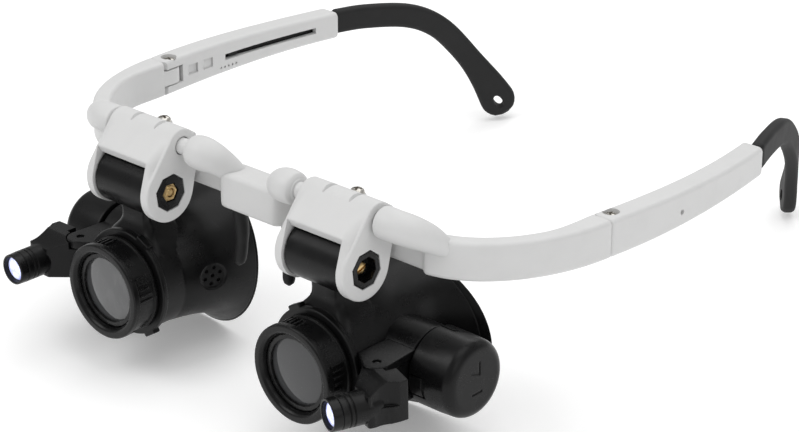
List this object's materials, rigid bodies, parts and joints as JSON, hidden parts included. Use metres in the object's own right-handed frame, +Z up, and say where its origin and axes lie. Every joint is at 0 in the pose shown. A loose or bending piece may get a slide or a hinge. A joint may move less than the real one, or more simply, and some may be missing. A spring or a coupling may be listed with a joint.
{
  "type": "head visor magnifier",
  "caption": "Spectacle-style head magnifier: white frame with telescoping temples, and flip-up black loupes that each carry an eyecup, a lens and a swinging lamp.",
  "frame": {"origin": "centre of the bounding box in plan, on the plane that the object rests on", "axes": "+X the wearer's left, +Y from the loupes to the temple tips, +Z up; the spectacle frame is pitched a little, rear end down, as it rests on its eyecups and temple tips"},
  "size_m": [0.1558, 0.175, 0.0597],
  "materials": {
    "front_frame": "satin white moulded plastic",
    "left_battery_cap": "satin black moulded plastic",
    "left_battery_case": "satin black moulded plastic",
    "left_battery_spring": "plated steel",
    "left_bracket": "satin white moulded plastic",
    "left_cell_1": "plated can, weighed as a light metal",
    "left_cell_2": "plated can, weighed as a light metal",
    "left_cell_3": "plated can, weighed as a light metal",
    "left_clamp_screw": "plated steel",
    "left_contact_plate": "plated steel",
    "left_hinge_screw": "plated steel",
    "left_inner_pivot_bush": "satin black moulded plastic",
    "left_lamp_arm": "satin black moulded plastic",
    "left_lamp_bezel": "satin black moulded plastic",
    "left_lamp_pin": "plated steel",
    "left_led": "water-clear moulded, bluish white",
    "left_lens": "clear polished",
    "left_lens_holder": "satin black moulded plastic",
    "left_lens_retainer": "satin black moulded plastic",
    "left_loupe_shell": "satin black moulded plastic",
    "left_nose_pad": "soft satin black",
    "left_outer_pivot_bush": "satin black moulded plastic",
    "left_pivot_nut": "turned brass",
    "left_pivot_screw": "turned brass",
    "left_rod_bush": "satin black moulded plastic",
    "left_temple_sleeve": "satin white moulded plastic",
    "left_temple_tip": "soft satin black",
    "right_battery_cap": "satin black moulded plastic",
    "right_battery_case": "satin black moulded plastic",
    "right_battery_spring": "plated steel",
    "right_bracket": "satin white moulded plastic",
    "right_cell_1": "plated can, weighed as a light metal",
    "right_cell_2": "plated can, weighed as a light metal",
    "right_cell_3": "plated can, weighed as a light metal",
    "right_clamp_screw": "plated steel",
    "right_contact_plate": "plated steel",
    "right_hinge_screw": "plated steel",
    "right_inner_pivot_bush": "satin black moulded plastic",
    "right_lamp_arm": "satin black moulded plastic",
    "right_lamp_bezel": "satin black moulded plastic",
    "right_lamp_pin": "plated steel",
    "right_led": "water-clear moulded, bluish white",
    "right_lens": "clear polished",
    "right_lens_holder": "satin black moulded plastic",
    "right_lens_retainer": "satin black moulded plastic",
    "right_loupe_shell": "satin black moulded plastic",
    "right_nose_pad": "soft satin black",
    "right_outer_pivot_bush": "satin black moulded plastic",
    "right_pivot_nut": "turned brass",
    "right_pivot_screw": "turned brass",
    "right_rod_bush": "satin black moulded plastic",
    "right_temple_sleeve": "satin white moulded plastic",
    "right_temple_tip": "soft satin black"
  },
  "bodies": {
    "frame": {"front_frame": "front_frame", "left_nose_pad": "left_nose_pad", "right_nose_pad": "right_nose_pad"},
    "left_temple": {"left_temple_sleeve": "left_temple_sleeve", "left_hinge_screw": "left_hinge_screw"},
    "left_tip": {"left_temple_tip": "left_temple_tip"},
    "left_slider": {"left_rod_bush": "left_rod_bush"},
    "left_bracket": {"left_bracket": "left_bracket", "left_clamp_screw": "left_clamp_screw", "left_outer_pivot_bush": "left_outer_pivot_bush", "left_inner_pivot_bush": "left_inner_pivot_bush", "left_pivot_screw": "left_pivot_screw", "left_pivot_nut": "left_pivot_nut"},
    "left_loupe": {"left_loupe_shell": "left_loupe_shell", "left_battery_case": "left_battery_case", "left_contact_plate": "left_contact_plate", "left_cell_1": "left_cell_1", "left_cell_2": "left_cell_2", "left_cell_3": "left_cell_3", "left_lamp_pin": "left_lamp_pin"},
    "left_lens": {"left_lens_holder": "left_lens_holder", "left_lens": "left_lens", "left_lens_retainer": "left_lens_retainer"},
    "left_cap": {"left_battery_cap": "left_battery_cap", "left_battery_spring": "left_battery_spring"},
    "left_lamp": {"left_lamp_arm": "left_lamp_arm", "left_lamp_bezel": "left_lamp_bezel", "left_led": "left_led"},
    "right_temple": {"right_temple_sleeve": "right_temple_sleeve", "right_hinge_screw": "right_hinge_screw"},
    "right_tip": {"right_temple_tip": "right_temple_tip"},
    "right_slider": {"right_rod_bush": "right_rod_bush"},
    "right_bracket": {"right_bracket": "right_bracket", "right_clamp_screw": "right_clamp_screw", "right_outer_pivot_bush": "right_outer_pivot_bush", "right_inner_pivot_bush": "right_inner_pivot_bush", "right_pivot_screw": "right_pivot_screw", "right_pivot_nut": "right_pivot_nut"},
    "right_loupe": {"right_loupe_shell": "right_loupe_shell", "right_battery_case": "right_battery_case", "right_contact_plate": "right_contact_plate", "right_cell_1": "right_cell_1", "right_cell_2": "right_cell_2", "right_cell_3": "right_cell_3", "right_lamp_pin": "right_lamp_pin"},
    "right_lens": {"right_lens_holder": "right_lens_holder", "right_lens": "right_lens", "right_lens_retainer": "right_lens_retainer"},
    "right_cap": {"right_battery_cap": "right_battery_cap", "right_battery_spring": "right_battery_spring"},
    "right_lamp": {"right_lamp_arm": "right_lamp_arm", "right_lamp_bezel": "right_lamp_bezel", "right_led": "right_led"}
  },
  "joints": [
    {"name": "left_temple_fold", "type": "hinge", "parent": "frame", "child": "left_temple", "pos_m": [0.07333, -0.01566, 0.04085], "axis": [0, 0.0937, 0.9956], "range_deg": [0, 90]},
    {"name": "left_tip_slide", "type": "slide", "parent": "left_temple", "child": "left_tip", "axis": [-0.0963, 0.991, -0.0932], "range_m": [0, 0.02]},
    {"name": "left_bracket_slide", "type": "slide", "parent": "frame", "child": "left_slider", "axis": [-1, 0, 0], "range_m": [0, 0.0032]},
    {"name": "left_bracket_flip", "type": "hinge", "parent": "left_slider", "child": "left_bracket", "pos_m": [0.032, -0.05756, 0.05554], "axis": [-1, 0, 0], "range_deg": [0, 100]},
    {"name": "left_loupe_tilt", "type": "hinge", "parent": "left_bracket", "child": "left_loupe", "pos_m": [0.032, -0.06275, 0.04528], "axis": [1, 0, 0], "range_deg": [-25, 20]},
    {"name": "left_lens_turn", "type": "hinge", "parent": "left_loupe", "child": "left_lens", "pos_m": [0.032, -0.07836, 0.02189], "axis": [0, -0.9977, 0.0676], "range_deg": [0, 30]},
    {"name": "left_cap_turn", "type": "hinge", "parent": "left_loupe", "child": "left_cap", "pos_m": [0.0529, -0.05302, 0.02017], "axis": [1, 0, 0], "range_deg": [0, 45]},
    {"name": "left_lamp_swing", "type": "hinge", "parent": "left_loupe", "child": "left_lamp", "pos_m": [0.0499, -0.06908, 0.02126], "axis": [0, 0.0676, 0.9977], "range_deg": [-8, 37]},
    {"name": "right_temple_fold", "type": "hinge", "parent": "frame", "child": "right_temple", "pos_m": [-0.07333, -0.01566, 0.04085], "axis": [0, 0.0937, 0.9956], "range_deg": [-90, 0]},
    {"name": "right_tip_slide", "type": "slide", "parent": "right_temple", "child": "right_tip", "axis": [0.0963, 0.991, -0.0932], "range_m": [0, 0.02]},
    {"name": "right_bracket_slide", "type": "slide", "parent": "frame", "child": "right_slider", "axis": [1, 0, 0], "range_m": [0, 0.0032]},
    {"name": "right_bracket_flip", "type": "hinge", "parent": "right_slider", "child": "right_bracket", "pos_m": [-0.032, -0.05756, 0.05554], "axis": [-1, 0, 0], "range_deg": [0, 100]},
    {"name": "right_loupe_tilt", "type": "hinge", "parent": "right_bracket", "child": "right_loupe", "pos_m": [-0.032, -0.06275, 0.04528], "axis": [1, 0, 0], "range_deg": [-25, 20]},
    {"name": "right_lens_turn", "type": "hinge", "parent": "right_loupe", "child": "right_lens", "pos_m": [-0.032, -0.07836, 0.02189], "axis": [0, -0.9977, 0.0676], "range_deg": [0, 30]},
    {"name": "right_cap_turn", "type": "hinge", "parent": "right_loupe", "child": "right_cap", "pos_m": [-0.0529, -0.05302, 0.02017], "axis": [-1, 0, 0], "range_deg": [0, 45]},
    {"name": "right_lamp_swing", "type": "hinge", "parent": "right_loupe", "child": "right_lamp", "pos_m": [-0.0499, -0.06908, 0.02126], "axis": [0, 0.0676, 0.9977], "range_deg": [-15, 30]}
  ]
}
